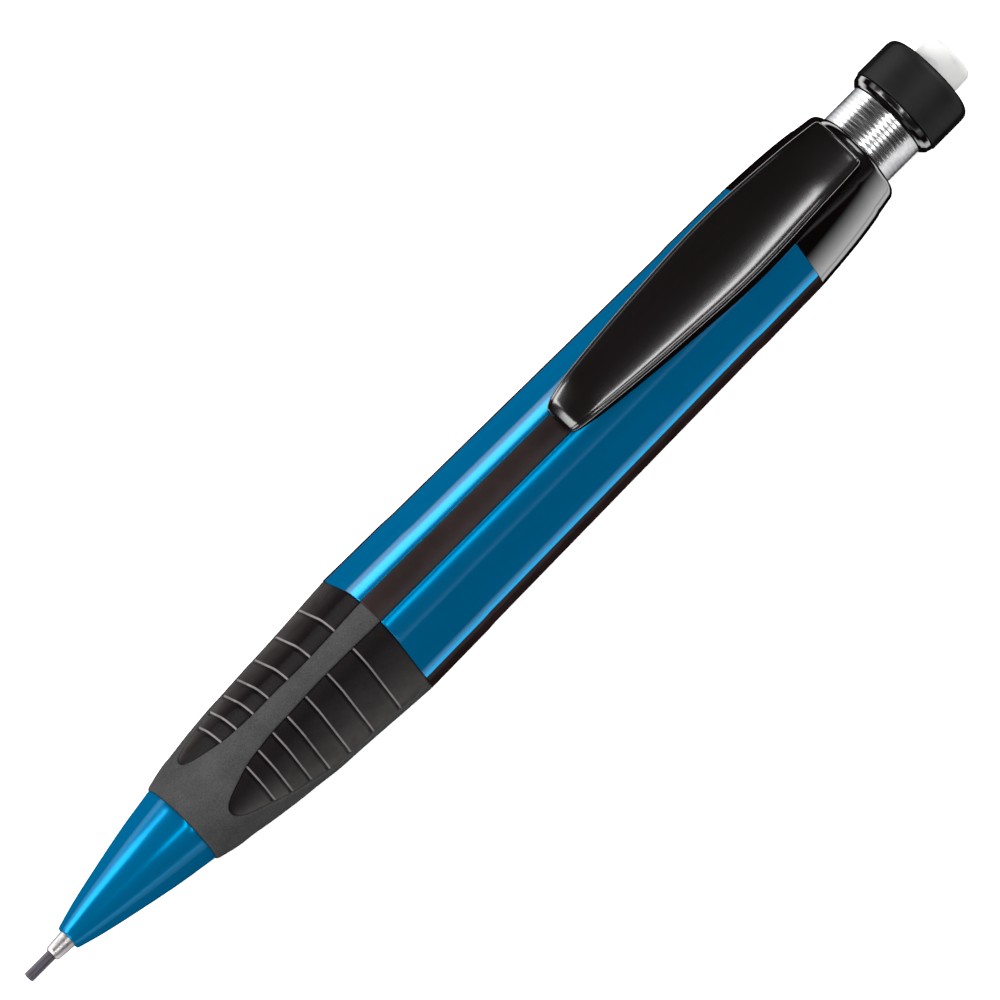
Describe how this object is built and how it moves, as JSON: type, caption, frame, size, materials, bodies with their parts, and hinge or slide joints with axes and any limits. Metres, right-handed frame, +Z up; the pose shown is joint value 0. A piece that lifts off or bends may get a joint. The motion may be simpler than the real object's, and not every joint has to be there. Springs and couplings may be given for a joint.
{
  "type": "mechanical pencil",
  "caption": "Soft-triangular mechanical pencil: sprung push button feeds the lead, twisting the knob feeds the eraser, and a pocket clip holds it.",
  "frame": {"origin": "under the middle of the pencil, on the surface that its lower face lies on", "axes": "+X along the pencil's axis towards the eraser, +Z up through the clip, +Y to the left seen from the eraser end"},
  "size_m": [0.1474, 0.0174, 0.0193],
  "materials": {
    "graphite_lead": "dry, slightly glossy polymer lead",
    "plated_tip": "polished nickel plate",
    "blue_plastic": "glossy moulded",
    "dark_strip": "satin inlay",
    "grip_grey": "matte, fine grained",
    "grip_black": "matte, ribbed",
    "black_gloss": "high gloss",
    "black_matte": "matte, fine grained",
    "button_chrome": "bright, with turned ridges",
    "eraser_white": "matte vinyl",
    "brass": "machined",
    "spring_steel": "drawn wire",
    "bush_rubber": "matte",
    "inner_plastic": "natural, moulded",
    "tube_plastic": "natural, semi-clear"
  },
  "bodies": {
    "barrel": {"barrel": "blue_plastic", "barrel_strip_top": "dark_strip", "barrel_strip_left": "dark_strip", "barrel_strip_right": "dark_strip", "grip_sleeve": "grip_grey", "grip_pad_left": "grip_black", "grip_pad_right": "grip_black", "grip_pad_bottom": "grip_black", "mechanism_sleeve": "inner_plastic", "end_cap": "black_gloss", "return_spring": "spring_steel"},
    "tip": {"tip_sleeve": "plated_tip", "lead_retainer": "bush_rubber"},
    "nose": {"nose_cone": "blue_plastic"},
    "mechanism": {"reservoir_tube": "tube_plastic", "chuck_connector": "inner_plastic", "chuck": "brass", "spare_lead_left": "graphite_lead", "spare_lead_right": "graphite_lead"},
    "clutch": {"clutch_ring": "brass"},
    "lead": {"lead": "graphite_lead"},
    "button": {"button_sleeve": "button_chrome", "lead_plug": "inner_plastic"},
    "knob": {"knob": "black_matte", "knob_collar": "black_gloss", "twist_tube": "inner_plastic"},
    "eraser": {"eraser": "eraser_white", "eraser_carrier": "inner_plastic"},
    "clip": {"clip": "black_gloss"}
  },
  "joints": [
    {"name": "push_button", "type": "slide", "parent": "barrel", "child": "mechanism", "axis": [-1, 0, 0], "range_m": [0, 0.0025], "stiffness_N_per_m": 1200, "springref_m": -0.002, "deforming": ["return_spring"]},
    {"name": "clutch_travel", "type": "slide", "parent": "barrel", "child": "clutch", "axis": [-1, 0, 0], "range_m": [0, 0.001]},
    {"name": "lead_feed", "type": "slide", "parent": "mechanism", "child": "lead", "axis": [-1, 0, 0], "range_m": [-0.0037, 0.02]},
    {"name": "refill_pull", "type": "slide", "parent": "mechanism", "child": "button", "axis": [1, 0, 0], "range_m": [0, 0.03]},
    {"name": "knob_twist", "type": "hinge", "parent": "button", "child": "knob", "pos_m": [0.06625, 0, 0.00722], "axis": [1, 0, 0], "range_deg": [-180, 1080]},
    {"name": "eraser_feed", "type": "slide", "parent": "button", "child": "eraser", "axis": [1, 0, 0], "range_m": [-0.003, 0.018]},
    {"name": "tip_travel", "type": "slide", "parent": "barrel", "child": "tip", "axis": [-1, 0, 0], "range_m": [0, 0.0024]},
    {"name": "nose_turn", "type": "hinge", "parent": "tip", "child": "nose", "pos_m": [-0.05875, 0, 0.00722], "axis": [-1, 0, 0], "range_deg": [0, 1080]},
    {"name": "clip_flex", "type": "hinge", "parent": "barrel", "child": "clip", "pos_m": [0.05325, 0, 0.01522], "axis": [0, 1, 0], "range_deg": [0, 3], "stiffness_Nm_per_rad": 2.6}
  ],
  "couplings": [
    {"joint": "clutch_travel", "follows": "push_button", "ratio": 0.4},
    {"joint": "knob_twist", "follows": "eraser_feed", "rad_per_m": 1047.2},
    {"joint": "nose_turn", "follows": "tip_travel", "rad_per_m": 7853.9}
  ]
}
